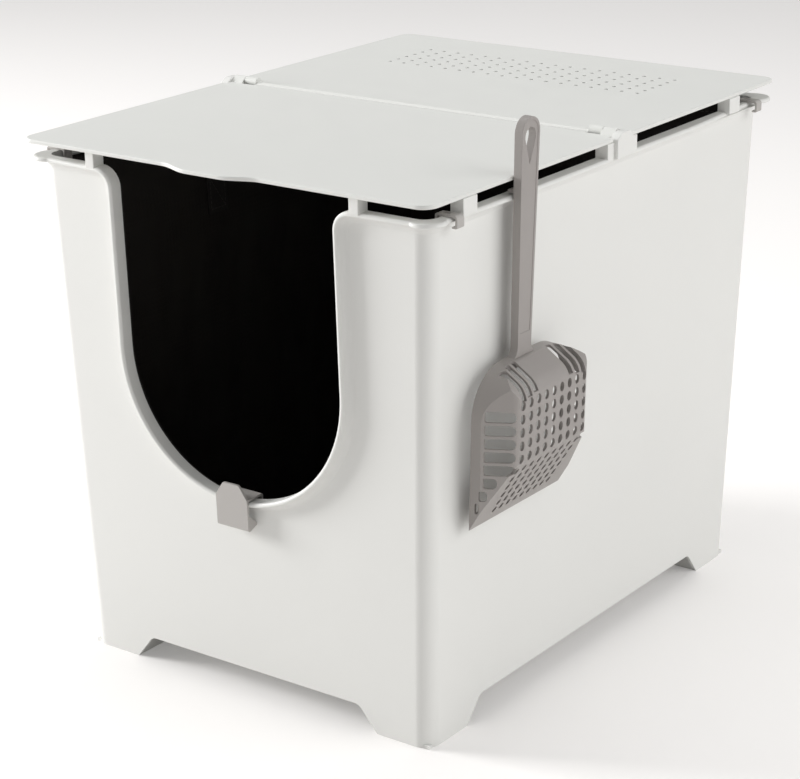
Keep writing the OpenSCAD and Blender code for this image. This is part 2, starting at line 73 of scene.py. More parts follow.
SCOOP_TOTAL, GRIP_W, NECK_W, GRIP_T, GRIP_X = 313.5, 24.0, 18.5, 7.0, -4.0
SCOOP_Z, HANG_GAP, OVER_RIM = 178.7, 9.6, 0.9


def side_x(z):
    return BASE_W / 2 + z * math.tan(SIDE_LEAN)


def end_y(z):
    return BASE_L / 2 + z * math.tan(END_LEAN)


RIM_X = side_x(RIM_Z) + RIM_OUT
RIM_Y = end_y(RIM_Z) + RIM_OUT
POST_IN = ENTRY_R + ENTRY_FLARE
# How far up the front wall the entry's edge starts to flare, and the entry's lowest height
FLARE_Z = RIM_Z / math.cos(END_LEAN) - ENTRY_FLARE
LIP_LOW = ENTRY_Z - ENTRY_R

# Where the tub's middle lies in the row frame, read from the rear lid
lid_low, lid_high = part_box("rear_lid")
CENTRE = Vector(((lid_low.x + lid_high.x) / 2, lid_high.y - LID_REAR * MM, 0))


def placed(p):
    """A point in mm from the tub's middle, in the row frame in metres."""
    return Vector(p) * MM + CENTRE


# Mesh helpers


def new_object(name, verts, faces):
    mesh = bpy.data.meshes.new(name)
    mesh.from_pydata([placed(v) for v in verts], [], faces)
    mesh.update()
    obj = bpy.data.objects.new(name, mesh)
    bpy.context.scene.collection.objects.link(obj)
    fix_normals(obj)
    return obj


def fix_normals(obj):
    bm = bmesh.new()
    bm.from_mesh(obj.data)
    bmesh.ops.recalc_face_normals(bm, faces=bm.faces)
    bm.to_mesh(obj.data)
    bm.free()


def apply_modifiers(obj):
    depsgraph = bpy.context.evaluated_depsgraph_get()
    baked = bpy.data.meshes.new_from_object(obj.evaluated_get(depsgraph))
    obj.modifiers.clear()
    obj.data = baked
    return obj


def combine(obj, other, operation):
    """Boolean of obj with other, which is then removed."""
    mod = obj.modifiers.new("cut", "BOOLEAN")
    mod.operation = operation
    mod.object = other
    mod.solver = "EXACT"
    apply_modifiers(obj)
    bpy.data.objects.remove(other)
    return obj


def soften(obj, width, segments=3, limit=32):
    """Rounds the sharp edges, then smooths the shading with flat faces kept flat."""
    mod = obj.modifiers.new("round", "BEVEL")
    mod.width = width * MM
    mod.segments = segments
    mod.limit_method = "ANGLE"
    mod.angle_limit = math.radians(limit)
    mod.harden_normals = False
    apply_modifiers(obj)
    return smooth(obj)


def smooth(obj, limit=40):
    """Smooth shading, kept sharp where two faces meet at more than limit degrees."""
    obj.data.shade_smooth()
    obj.data.set_sharp_from_angle(angle=math.radians(limit))
    mod = obj.modifiers.new("flat faces", "WEIGHTED_NORMAL")
    mod.keep_sharp = True
    return obj


def join(first, *others):
    with bpy.context.temp_override(
        active_object=first, object=first,
        selected_objects=[first, *others], selected_editable_objects=[first, *others],
    ):
        bpy.ops.object.join()
    return first


def finish_piece(obj, body, material):
    """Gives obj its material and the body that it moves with."""
    obj.data.materials.clear()
    obj.data.materials.append(material)
    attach(obj, body)
    return obj


# Outline helpers, all in mm


def arc(centre, radius, start, stop, count):
    """Points on an arc, angles in degrees, both ends included."""
    return [
        (centre[0] + radius * math.cos(math.radians(start + (stop - start) * i / count)),
         centre[1] + radius * math.sin(math.radians(start + (stop - start) * i / count)))
        for i in range(count + 1)
    ]


def rounded(points, radii, count=8):
    """The polygon with each corner rounded by its own radius."""
    out = []
    n = len(points)
    for i, b in enumerate(points):
        a, b, c = Vector(points[i - 1]), Vector(b), Vector(points[(i + 1) % n])
        r = radii[i]
        if r == 0:
            out.append(tuple(b))
            continue
        u, w = (a - b).normalized(), (c - b).normalized()
        half = math.acos(max(-1, min(1, u.dot(w)))) / 2
        mid = b + (u + w).normalized() * r / math.sin(half)
        p = b + u * r / math.tan(half) - mid
        q = b + w * r / math.tan(half) - mid
        start = math.atan2(p.y, p.x)
        turn = math.atan2(p.x * q.y - p.y * q.x, p.dot(q))
        out += [
            (mid.x + r * math.cos(start + turn * k / count),
             mid.y + r * math.sin(start + turn * k / count))
            for k in range(count + 1)
        ]
    return out


def rounded_rect(hx, hy, r, count=8):
    return rounded([(-hx, -hy), (hx, -hy), (hx, hy), (-hx, hy)], [r] * 4, count)


def loft(name, rings):
    """Closed solid through rings of 3-D points that all have the same count."""
    n = len(rings[0])
    verts = [p for ring in rings for p in ring]
    faces = [list(range(n))[::-1], [(len(rings) - 1) * n + i for i in range(n)]]
    for k in range(len(rings) - 1):
        for i in range(n):
            j = (i + 1) % n
            faces.append((k * n + i, k * n + j, (k + 1) * n + j, (k + 1) * n + i))
    return new_object(name, verts, faces)


def prism(name, outline, low, high, place):
    """Outline extruded from low to high; place(u, v, w) puts a point of it in the frame."""
    return loft(name, [[place(u, v, w) for u, v in outline] for w in (low, high)])


def upright(u, v, w):
    return (u, v, w)


def across(u, v, w):
    """u along Y, v up, w along X."""
    return (w, u, v)


def endways(u, v, w):
    """u along X, v up, w along Y."""
    return (u, w, v)


def on_front_wall(u, v, w):
    """u along X, v up the leaning front wall, w out of it."""
    return (
        u,
        -BASE_L / 2 - v * math.sin(END_LEAN) - w * math.cos(END_LEAN),
        v * math.cos(END_LEAN) - w * math.sin(END_LEAN),
    )


def wall_block(name, grow, z0, z1):
    """The leaning walls' outer form from z0 to z1, grown all round."""
    return loft(name, [
        [(x, y, z) for x, y in
         rounded_rect(side_x(z) + grow, end_y(z) + grow, CORNER_R + grow, 14)]
        for z in (z0, z1)
    ])


def box(name, low, high):
    x0, y0, z0 = low
    x1, y1, z1 = high
    return prism(name, [(x0, y0), (x1, y0), (x1, y1), (x0, y1)], z0, z1, upright)


def mirrored(obj, name):
    """A copy of obj on the other side of the tub's middle plane."""
    copy = obj.copy()
    copy.data = obj.data.copy()
    copy.name = name
    bpy.context.scene.collection.objects.link(copy)
    flip = (Matrix.Translation(CENTRE) @ Matrix.Scale(-1, 4, (1, 0, 0))
            @ Matrix.Translation(-CENTRE))
    copy.data.transform(flip)
    copy.data.flip_normals()
    return copy


def on_left_too(obj):
    return [obj, mirrored(obj, obj.name.replace("right", "left"))]


# Materials


def shader(name):
    mat = bpy.data.materials.new(name)
    mat.use_nodes = True
    nodes = mat.node_tree.nodes
    return mat, nodes, mat.node_tree.links, nodes["Principled BSDF"]


def noise_node(nodes, links, scale, detail=3.0):
    coords = nodes.new("ShaderNodeTexCoord")
    tex = nodes.new("ShaderNodeTexNoise")
    tex.inputs["Scale"].default_value = scale
    tex.inputs["Detail"].default_value = detail
    links.new(coords.outputs["Object"], tex.inputs["Vector"])
    return tex


def ramp(nodes, links, source, low, high):
    """source's 0 to 1 turned into low to high, which are numbers or colours."""
    if isinstance(low, tuple):
        mix = nodes.new("ShaderNodeMix")
        mix.data_type = "RGBA"
        mix.inputs["A"].default_value = (*low, 1)
        mix.inputs["B"].default_value = (*high, 1)
        links.new(source, mix.inputs["Factor"])
        return mix.outputs["Result"]
    span = nodes.new("ShaderNodeMapRange")
    span.inputs["From Min"].default_value = 0.3
    span.inputs["From Max"].default_value = 0.7
    span.inputs["To Min"].default_value = low
    span.inputs["To Max"].default_value = high
    links.new(source, span.inputs["Value"])
    return span.outputs["Result"]


def shade(colour, k):
    return tuple(min(1, c * k) for c in colour)


def moulded_plastic(name, colour, roughness, grain=0.06, mottle=0.02):
    """Satin moulded plastic: a fine spark-eroded grain, slow tone drift and patchy gloss."""
    mat, nodes, links, bsdf = shader(name)
    drift = noise_node(nodes, links, 6.0, 2.0)
    pale, dark = shade(colour, 1 + mottle), shade(colour, 1 - mottle)
    links.new(ramp(nodes, links, drift.outputs["Fac"], dark, pale), bsdf.inputs["Base Color"])
    patch = noise_node(nodes, links, 40.0, 4.0)
    links.new(
        ramp(nodes, links, patch.outputs["Fac"], roughness - 0.04, roughness + 0.04),
        bsdf.inputs["Roughness"],
    )
    texture = noise_node(nodes, links, 1400.0, 2.0)
    bump = nodes.new("ShaderNodeBump")
    bump.inputs["Strength"].default_value = grain
    bump.inputs["Distance"].default_value = 0.0003
    links.new(texture.outputs["Fac"], bump.inputs["Height"])
    links.new(bump.outputs["Normal"], bsdf.inputs["Normal"])
    bsdf.inputs["IOR"].default_value = 1.49
    return mat


def woven_cloth(name, colour, threads_per_m, ribs=0.4):
    """Coated plain weave: crossing threads from two wave textures."""
    mat, nodes, links, bsdf = shader(name)
    coords = nodes.new("ShaderNodeTexCoord")
    waves = []
    for direction in ("X", "Y", "Z"):
        wave = nodes.new("ShaderNodeTexWave")
        wave.bands_direction = direction
        wave.inputs["Scale"].default_value = threads_per_m / 20
        wave.inputs["Distortion"].default_value = 0.4
        links.new(coords.outputs["Object"], wave.inputs["Vector"])
        waves.append(wave.outputs["Fac"])
    total = waves[0]
    for other in waves[1:]:
        add = nodes.new("ShaderNodeMath")
        add.operation = "MULTIPLY"
        links.new(total, add.inputs[0])
        links.new(other, add.inputs[1])
        total = add.outputs["Value"]
    bump = nodes.new("ShaderNodeBump")
    bump.inputs["Strength"].default_value = ribs
    bump.inputs["Distance"].default_value = 0.0006
    links.new(total, bump.inputs["Height"])
    links.new(bump.outputs["Normal"], bsdf.inputs["Normal"])
    dust = noise_node(nodes, links, 14.0, 5.0)
    links.new(
        ramp(nodes, links, dust.outputs["Fac"], shade(colour, 0.75), shade(colour, 1.35)),
        bsdf.inputs["Base Color"],
    )
    bsdf.inputs["Roughness"].default_value = 0.85
    return mat


def drawn_wire(name, colour):
    """Bright metal wire with fine drawing streaks."""
    mat, nodes, links, bsdf = shader(name)
    bsdf.inputs["Metallic"].default_value = 1.0
    streak = noise_node(nodes, links, 900.0, 2.0)
    links.new(ramp(nodes, links, streak.outputs["Fac"], 0.25, 0.4), bsdf.inputs["Roughness"])
    links.new(
        ramp(nodes, links, streak.outputs["Fac"], shade(colour, 0.9), colour),
        bsdf.inputs["Base Color"],
    )
    return mat


TUB = moulded_plastic("tub_plastic", (0.80, 0.80, 0.775), 0.42)
LID = moulded_plastic("lid_plastic", (0.77, 0.775, 0.745), 0.45)
GREY = moulded_plastic("grey_plastic", (0.46, 0.44, 0.42), 0.40, mottle=0.04)
SCOOP = moulded_plastic("scoop_plastic", (0.34, 0.315, 0.30), 0.38, mottle=0.04)
CLOTH = woven_cloth("liner_cloth", (0.012, 0.009, 0.007), 1400)
WEBBING = woven_cloth("webbing", (0.016, 0.013, 0.012), 900, 0.8)
THREAD = woven_cloth("sewing_thread", (0.05, 0.045, 0.042), 2600, 0.6)
STEEL = drawn_wire("pin_steel", (0.62, 0.62, 0.62))


# Tub


def arch_cutters():
    """The arches between the feet, through the end walls and through the side walls."""

    def outline(half):
        return rounded(
            [(-half - ARCH_LEAN, -ARCH_H), (half + ARCH_LEAN, -ARCH_H),
             (half - ARCH_LEAN, ARCH_H), (-half + ARCH_LEAN, ARCH_H)],
            [0, 0, ARCH_ROUND, ARCH_ROUND],
        )
    return [
        prism("arch", outline(ARCH_W / 2), -BASE_L, BASE_L, endways),
        prism("arch", outline(ARCH_L / 2), -BASE_W, BASE_W, across),
    ]


def entry_cutter(clear):
    """The entry's opening, clear larger all round."""
    top, inside, outside = RIM_Z + 20, -14, 24
    outline = arc((0, ENTRY_Z), ENTRY_R + clear, 180, 360, 72)
    outline += arc((POST_IN, FLARE_Z), ENTRY_FLARE - clear, 180, 90, 10)
    outline += [(POST_IN, top), (-POST_IN, top)]
    outline += arc((-POST_IN, FLARE_Z), ENTRY_FLARE - clear, 90, 0, 10)
    return prism("entry", outline, inside, outside, on_front_wall)


def foot_plates():
    """Soles of the feet and the two ribs that close each foot towards the middle."""
    sole_t, inset, rib_top = 3.0, 1.5, FLOOR_Z - 1
    plates = []
    for sx in (-1, 1):
        for sy in (-1, 1):
            x0, y0 = sx * ARCH_W / 2, sy * ARCH_L / 2
            x1, y1 = sx * (side_x(0) - inset), sy * (end_y(0) - inset)
            xs, ys = sorted((x0, x1)), sorted((y0, y1))
            plates.append(box("sole", (xs[0], ys[0], 0), (xs[1], ys[1], sole_t)))
            xr = sorted((x0, x0 + sx * WALL_T))
            plates.append(box("rib", (xr[0], ys[0], 0), (xr[1], ys[1], rib_top)))
            yr = sorted((y0, y0 + sy * WALL_T))
            plates.append(box("rib", (xs[0], yr[0], 0), (xs[1], yr[1], rib_top)))
    return plates


def tub_shell():
    below_rim = 0.6
    shell = wall_block("tub_shell", 0, 0, RIM_Z - below_rim)
    combine(shell, wall_block("inside", -WALL_T, FLOOR_Z, RIM_Z + 5), "DIFFERENCE")
    combine(shell, wall_block("under", -WALL_T, -1, FLOOR_Z - FLOOR_T), "DIFFERENCE")
    for plate in foot_plates():
        combine(shell, plate, "UNION")
    for cutter in arch_cutters():
        combine(shell, cutter, "DIFFERENCE")
    combine(shell, entry_cutter(1), "DIFFERENCE")
    return soften(shell, 0.7, 2)


def lip_profile(out):
    """Closed section of rim and entry lip that stands out by out: a away from the edge,
    b out of the wall."""
    inner, inner_r, edge_r, under_r = -WALL_T - 0.05, 0.6, 2.4, 0.8
    tail = RIM_T + RIM_FILLET + 1
    section = [(6, -2), (5.2, inner)]
    section += [(inner_r, inner)] + arc((inner_r, inner + inner_r), inner_r, 270, 180, 3)
    section += arc((edge_r, out - edge_r), edge_r, 180, 90, 7)
    section += arc((RIM_T - under_r, out - under_r), under_r, 90, 0, 4)
    section += arc((RIM_T + RIM_FILLET, RIM_FILLET), RIM_FILLET, 180, 270, 8)
    section += [(tail, -0.4), (tail, -2)]
    return section


def overhang(n, out_x, out_y):
    """How far the rim stands out at a corner, in direction n, past the wall's corner."""
    x, y = CORNER_R + out_x - RIM_CORNER, CORNER_R + out_y - RIM_CORNER
    along = x * abs(n.x) + y * abs(n.y)
    return along + math.sqrt(along ** 2 - x * x - y * y + RIM_CORNER ** 2) - CORNER_R


def lip_stations():
    """(point on the wall's outer face at the edge, direction away from the edge,
    direction out of the wall, overhang) along the right half, from the entry's bottom
    to the middle of the rear rim."""
    out = []
    wall_n = Vector((0, -math.cos(END_LEAN), -math.sin(END_LEAN)))
    wall_up = Vector((0, -math.sin(END_LEAN), math.cos(END_LEAN)))
    side = Vector((1, 0, 0))

    def on_wall(x, v, ax, av, lean_share=1.0):
        n = (wall_n * lean_share + Vector((0, -1, 0)) * (1 - lean_share)).normalized()
        up = (wall_up * lean_share + Vector((0, 0, 1)) * (1 - lean_share)).normalized()
        out.append((Vector(on_front_wall(x, v, 0)), side * ax + up * av, n, RIM_OUT))

    for i in range(37):
        t = math.radians(-90 + 90 * i / 36)
        on_wall(ENTRY_R * math.cos(t), ENTRY_Z + ENTRY_R * math.sin(t),
                math.cos(t), math.sin(t))
    for k in (0.25, 0.5, 0.75):
        on_wall(ENTRY_R, ENTRY_Z + (FLARE_Z - ENTRY_Z) * k, 1, 0)
    for i in range(15):
        t = math.radians(180 - 90 * i / 14)
        on_wall(POST_IN + ENTRY_FLARE * math.cos(t), FLARE_Z + ENTRY_FLARE * math.sin(t),
                -math.cos(t), -math.sin(t), 1 - i / 14)
    down = Vector((0, 0, -1))
    run_x, run_y = side_x(RIM_Z) - CORNER_R, end_y(RIM_Z) - CORNER_R
    for cy, first, out_y in ((-run_y, -90, RIM_OUT), (run_y, 0, RIM_OUT_REAR)):
        for i in range(19):
            t = math.radians(first + 90 * i / 18)
            n = Vector((math.cos(t), math.sin(t), 0))
            out.append((Vector((run_x, cy, RIM_Z)) + n * CORNER_R, down, n,
                        overhang(n, RIM_OUT, out_y)))
        if first == -90:
            for y in (-120, 0, 120):
                out.append((Vector((run_x + CORNER_R, y, RIM_Z)), down, side, RIM_OUT))
    out.append((Vector((0, run_y + CORNER_R, RIM_Z)), down, Vector((0, 1, 0)), RIM_OUT_REAR))
    return out


def tub_lip():
    return smooth(sweep("tub_rim", both_halves(lip_stations()), lip_profile), 50)


def lid_rests():
    """Front posts, side tabs and the shoulders and ears of the hinge."""
    deep = RIM_OUT + WALL_T
    low = RIM_Z - RIM_T / 2
    shoulder_l = 45.0
    blocks = [box("tub_rests", (POST_IN, -RIM_Y, low), (POST_IN + POST_W, -RIM_Y + deep, LID_Z))]
    for name, y, length in (("tab", -TAB_FRONT, TAB_L), ("tab", TAB_REAR, TAB_L),
                            ("shoulder", HINGE_Y, shoulder_l)):
        blocks.append(box(name, (RIM_X - deep, y - length / 2, low), (RIM_X, y + length / 2, LID_Z)))
    half, crown = EAR_L / 2, HINGE_Z + KNUCKLE_R - 1.5
    ear = rounded([(-half, low), (half, low), (half, LID_Z), (half / 2, crown),
                   (-half / 2, crown), (-half, LID_Z + 2)], [0, 0, 3, 8, 8, 3])
    blocks.append(prism("ear", [(u + HINGE_Y, v) for u, v in ear], HINGE_END, EAR_X, across))
    for b in blocks:
        soften(b, 0.7, 3)
    both = blocks + [mirrored(b, "left") for b in blocks]
    return join(*both)


def build_tub():
    shell, lip, rests = tub_shell(), tub_lip(), lid_rests()
    for piece in (shell, lip, rests):
        finish_piece(piece, "tub", TUB)
    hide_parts("tub")


# Lid


def finger_bulge(x):
    """How far the finger lip stands out of the front edge at x from its own middle."""
    t = min(1, (FINGER_W / 2 - abs(x)) / (FINGER_W / 3))
    return FINGER_OUT * t * t * (3 - 2 * t)


def front_outline():
    hx = LID_W / 2
    back = HINGE_Y - BEAD_W / 2 - LEAF_GAP
    split, inner = KNUCKLE_SPLIT + KNUCKLE_GAP, KNUCKLE_X - KNUCKLE_GAP
    end = HINGE_END - KNUCKLE_GAP
    edge_x = [FINGER_X + FINGER_W * (i / 48 - 0.5) for i in range(49)]
    edge = [(x, -LID_FRONT - finger_bulge(x - FINGER_X)) for x in edge_x]
    right = arc((hx - LID_CORNER, -LID_FRONT + LID_CORNER), LID_CORNER, -90, 0, 12)
    right += [(hx, HINGE_Y - NOTCH), (end, HINGE_Y - NOTCH), (end, back), (split, back),
              (split, back - 2), (inner, back - 2), (inner, back)]
    return edge + right + [(-x, y) for x, y in right[::-1]]


def rear_outline():
    hx = LID_W / 2
    right = [(KNUCKLE_X, HINGE_Y), (KNUCKLE_SPLIT, HINGE_Y + BEAD_W / 2 + LEAF_GAP),
             (KNUCKLE_SPLIT, HINGE_Y + NOTCH), (hx, HINGE_Y + NOTCH)]
    right += arc((hx - LID_CORNER, LID_REAR - LID_CORNER), LID_CORNER, 0, 90, 12)
    return right + [(-x, y) for x, y in right[::-1]]


def knuckles(name, x0, x1, toward):
    """Barrel and web on both ends of the hinge; toward is -1 for the front leaf."""
    reach, slope, neck = toward * 7.5, toward * 6.4, toward * 5.2
    web = [(0, LID_Z), (reach, LID_Z), (reach, LID_TOP - 0.2)]
    web += [(slope, LID_TOP + 0.9), (neck, LID_TOP + 2.1)]
    start = 145 if toward < 0 else 35
    end = -90 if toward < 0 else 270
    web += [(u, v + HINGE_Z) for u, v in arc((0, 0), KNUCKLE_R, start, end, 24)]
    knuckle = prism(name, [(u + HINGE_Y, v) for u, v in web], x0, x1, across)
    soften(knuckle, 0.5, 2)
    return join(knuckle, mirrored(knuckle, "left"))


def vent_cutter():
    """All the round vents of the rear leaf as one cutter."""
    cutters = []
    for j in range(VENT_ROWS):
        for i in range(VENT_COLS):
            x = (i - (VENT_COLS - 1) / 2) * VENT_PITCH
            y = LID_REAR - VENT_INSET - j * VENT_ROW
            hole = arc((x, y), VENT_D / 2, 0, 360, 14)[:-1]
            cutters.append(prism("vents", hole, LID_Z - 2, LID_TOP + 2, upright))
    return join(*cutters)


def hinge_bead():
    """Rounded bead that covers the gap between the two leaves."""
    crown, top = 6, LID_TOP + 1.5
    reach = math.degrees(math.asin(BEAD_W / 2 / crown))
    section = arc((HINGE_Y, top - crown), crown, 90 - reach, 90 + reach, 10)
    section += [(HINGE_Y - BEAD_W / 2, LID_Z), (HINGE_Y + BEAD_W / 2, LID_Z)]
    return soften(prism("rear_lid_bead", section, -KNUCKLE_X, KNUCKLE_X, across), 0.4, 2)


def build_lids():
    front = prism("front_lid_plate", front_outline(), LID_Z, LID_TOP, upright)
    soften(front, 1.2, 4)
    front_knuckles = knuckles("front_lid_knuckles", KNUCKLE_SPLIT + KNUCKLE_GAP,
                              HINGE_END - KNUCKLE_GAP, -1)
    rear = prism("rear_lid_plate", rear_outline(), LID_Z, LID_TOP, upright)
    soften(rear, 1.2, 4)
    combine(rear, vent_cutter(), "DIFFERENCE")
    smooth(rear)
    rear_knuckles = knuckles("rear_lid_knuckles", KNUCKLE_X, KNUCKLE_SPLIT, 1)
    for piece in (front, front_knuckles):
        finish_piece(piece, "front_lid", LID)
    for piece in (rear, rear_knuckles, hinge_bead()):
        finish_piece(piece, "rear_lid", LID)
    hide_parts("front_lid")
    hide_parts("rear_lid")


# Liner

CLOTH_T = 1.2
# From the wall's outer face to the middle of the cloth
CLOTH_IN = WALL_T + LINER_GAP + LINER_T / 2
BAG_CORNER = 10.0
HEM_W = 12.0
# The two faces of the hem, measured out of the wall's outer face
HEM_OUTER, HEM_INNER = -3.9, -6.3
# Height of each crease from the bag's packing, and how far it stands in
CREASES = ((148, 1.2), (282, -1.0))
# Rows of points up the floor, round the bottom bend and up the walls
FLOOR_ROWS, BEND_ROWS, WALL_ROWS = 24, 6, 64
# Points along a long and a short side of the bag
LONG_STEPS, SHORT_STEPS = 58, 42
STRAP_W, STRAP_T, STRAP_HALF, STRAP_DROP = 25, 1.5, 60, 70


def bag_ring(hx, hy, r):
    """(x, y, outward direction) evenly round the bag, from its front right corner on."""
    out = []
    middles = ((hx - r, r - hy), (hx - r, hy - r), (r - hx, hy - r), (r - hx, r - hy))
    for k, (cx, cy) in enumerate(middles):
        for i in range(9):
            t = math.radians(90 * k - 90 + 90 * i / 8)
            out.append((cx + r * math.cos(t), cy + r * math.sin(t), math.cos(t), math.sin(t)))
        nx, ny = middles[(k + 1) % 4]
        t = math.radians(90 * k)
        steps = LONG_STEPS if k % 2 == 0 else SHORT_STEPS
        for i in range(1, steps):
            out.append((cx + (nx - cx) * i / steps + r * math.cos(t),
                        cy + (ny - cy) * i / steps + r * math.sin(t), math.cos(t), math.sin(t)))
    return out


def sag(x, y):
    """How far the bag's top edge hangs between its corner hooks."""
    side_sag, rear_sag = 7, 9
    if y < -HOOK_Y:
        return 0
    if y < HOOK_Y:
        return side_sag * math.cos(math.pi * y / (2 * HOOK_Y)) ** 2
    return rear_sag * math.cos(math.pi * x / (2 * side_x(LINER_TOP))) ** 2


def fold(share, x, y, z):
    """How far the cloth stands in from its own plane: soft upright folds, the creases
    from its packing and hardly any by the hem, the hooks and the grips."""
    turn = 2 * math.pi * share
    deep = 2.2 + 1.1 * math.sin(26 * turn + 0.9 * math.sin(z / 70) + z / 160)
    deep += 0.8 * math.sin(59 * turn + z / 45 + 1) + 0.4 * math.sin(121 * turn + z / 23)
    for level, way in CREASES:
        deep += way * math.exp(-((z - level) / 4) ** 2)
    deep = max(0.1, deep)
    near_hem = min(1, max(0.06, (LINER_TOP - 16 - sag(x, y) - z) / 60))
    beside_entry = 1
    if y < 0:
        off = math.hypot(x, min(0, z - ENTRY_Z)) - ENTRY_R
        beside_entry = min(1, max(0.06, (off - 16) / 40)) if off < 60 else 1
    by_grip = 0.22 if abs(y) < 72 and z > 325 and abs(x) > 100 else 1
    return deep * min(near_hem, beside_entry, by_grip)


def bag_rows():
    """The bag's rings of points, from the middle of its floor up to its top edge."""
    low = FLOOR_Z + LINER_GAP + CLOTH_T / 2 + 0.2
    bend = 9
    rows = []
    for k in range(FLOOR_ROWS):
        f = (k + 0.4) / FLOOR_ROWS
        hx, hy = side_x(low) - CLOTH_IN - bend, end_y(low) - CLOTH_IN - bend
        ring = bag_ring(hx * f, hy * f, max(0.3, 3 * f))
        rows.append([(x, y, low + 0.9 + 0.5 * math.sin(x / 23 + y / 41)
                      + 0.4 * math.sin(y / 17 - x / 67)) for x, y, _, _ in ring])
    for i in range(1, BEND_ROWS):
        t = math.radians(90 / BEND_ROWS * i)
        inset, z = bend * (1 - math.sin(t)), low + bend * (1 - math.cos(t))
        ring = bag_ring(side_x(z) - CLOTH_IN - inset, end_y(z) - CLOTH_IN - inset,
                        3 + 7 * i / BEND_ROWS)
        rows.append([(x, y, z + 0.9 * (1 - i / BEND_ROWS)) for x, y, _, _ in ring])
    base = bag_ring(side_x(0) - CLOTH_IN, end_y(0) - CLOTH_IN, BAG_CORNER)
    for i in range(WALL_ROWS + 1):
        share_up = i / WALL_ROWS
        row = []
        for j, (bx, by, _, _) in enumerate(base):
            top = LINER_TOP - sag(bx, by)
            z = low + bend + (top - low - bend) * share_up
            x, y, nx, ny = bag_ring(side_x(z) - CLOTH_IN, end_y(z) - CLOTH_IN, BAG_CORNER)[j]
            deep = fold(j / len(base), x, y, z) * min(1, 0.1 + i / 5)
            row.append((x - nx * deep, y - ny * deep, z))
        rows.append(row)
    return rows


def bag_cloth():
    """The bag as one sheet with its real thickness, cut out along the entry."""
    rows = bag_rows()
    n = len(rows[0])
    verts = [p for row in rows for p in row]
    faces = [list(range(n))[::-1]]
    for k in range(len(rows) - 1):
        for i in range(n):
            j = (i + 1) % n
            faces.append((k * n + i, k * n + j, (k + 1) * n + j, (k + 1) * n + i))
    cloth = new_object("liner_cloth", verts, faces)
    thick = cloth.modifiers.new("thick", "SOLIDIFY")
    thick.thickness = CLOTH_T * MM
    thick.offset = 0
    apply_modifiers(cloth)
    combine(cloth, entry_cutter(2), "DIFFERENCE")
    cloth.data.shade_smooth()
    return cloth


def hem_stations():
    """The lip's stations with the hem's distance from the edge at each of them."""
    out = []
    for p, a, b, _ in lip_stations():
        if a.z < -0.99:
            start = RIM_Z - LINER_TOP + sag(p.x, p.y) - 0.5
        else:
            turned = max(0, min(1, (p.z - FLARE_Z * math.cos(END_LEAN)) / ENTRY_FLARE))
            start = 1.2 + 4.8 * turned
        out.append((p, a, b, start))
    return out


def both_halves(right):
    """Stations of the right half followed by their mirror images, back to the start."""
    flip = Vector((-1, 1, 1))
    return right + [(p * flip, a * flip, b * flip, k) for p, a, b, k in right[1:-1]][::-1]


def sweep(name, stations, section):
    """section(k) is the outline at a station whose last value is k."""
    n = len(section(0))
    verts, faces = [], []
    for p, a, b, k in stations:
        verts += [p + a * u + b * v for u, v in section(k)]
    for k in range(len(stations)):
        m = (k + 1) % len(stations)
        for i in range(n):
            j = (i + 1) % n
            faces.append((k * n + i, k * n + j, m * n + j, m * n + i))
    return new_object(name, verts, faces)


def bag_hem():
    """Binding tape folded over the bag's edge, all the way round."""

    def section(start):
        return rounded([(start, HEM_INNER), (start + HEM_W, HEM_INNER), (start + HEM_W, HEM_OUTER),
                        (start, HEM_OUTER)], [1.1, 0.5, 0.5, 1.1], 4)

    return smooth(sweep("liner_hem", both_halves(hem_stations()), section), 50)


def stitch_row(points, outward, length=3.0, gap=2.0, size=0.35):
    """Corners and faces of one thread's stitches along points; outward lifts them."""
    verts, faces = [], []
    walked, down = 0.0, None
    for (p, n), (q, _) in zip(zip(points, outward), zip(points[1:], outward[1:])):
        step = (q - p).length
        while walked < step:
            if down is None:
                down = (p + (q - p) * (walked / step), n)
                walked += length
            else:
                start, normal = down
                end = p + (q - p) * (walked / step)
                along = (end - start).normalized()
                side = along.cross(normal).normalized() * size
                lift = normal * size
                k = len(verts)
                for base in (start, end):
                    verts += [base - side, base + side, base + side * 0.6 + lift,
                              base - side * 0.6 + lift]
                faces += [(k, k + 1, k + 2, k + 3), (k + 7, k + 6, k + 5, k + 4)]
                faces += [(k + i, k + 4 + i, k + 4 + (i + 1) % 4, k + (i + 1) % 4)
                          for i in range(4)]
                down = None
                walked += gap
        walked -= step
    return verts, faces


def hem_stitches():
    """One row of stitches along the hem's inner face."""
    stations = both_halves(hem_stations())
    stations.append(stations[0])
    points = [p + a * (start + HEM_W - 2) + b * HEM_INNER for p, a, b, start in stations]
    verts, faces = stitch_row(points, [-b for _, _, b, _ in stations])
    return new_object("hem_stitches", verts, faces)


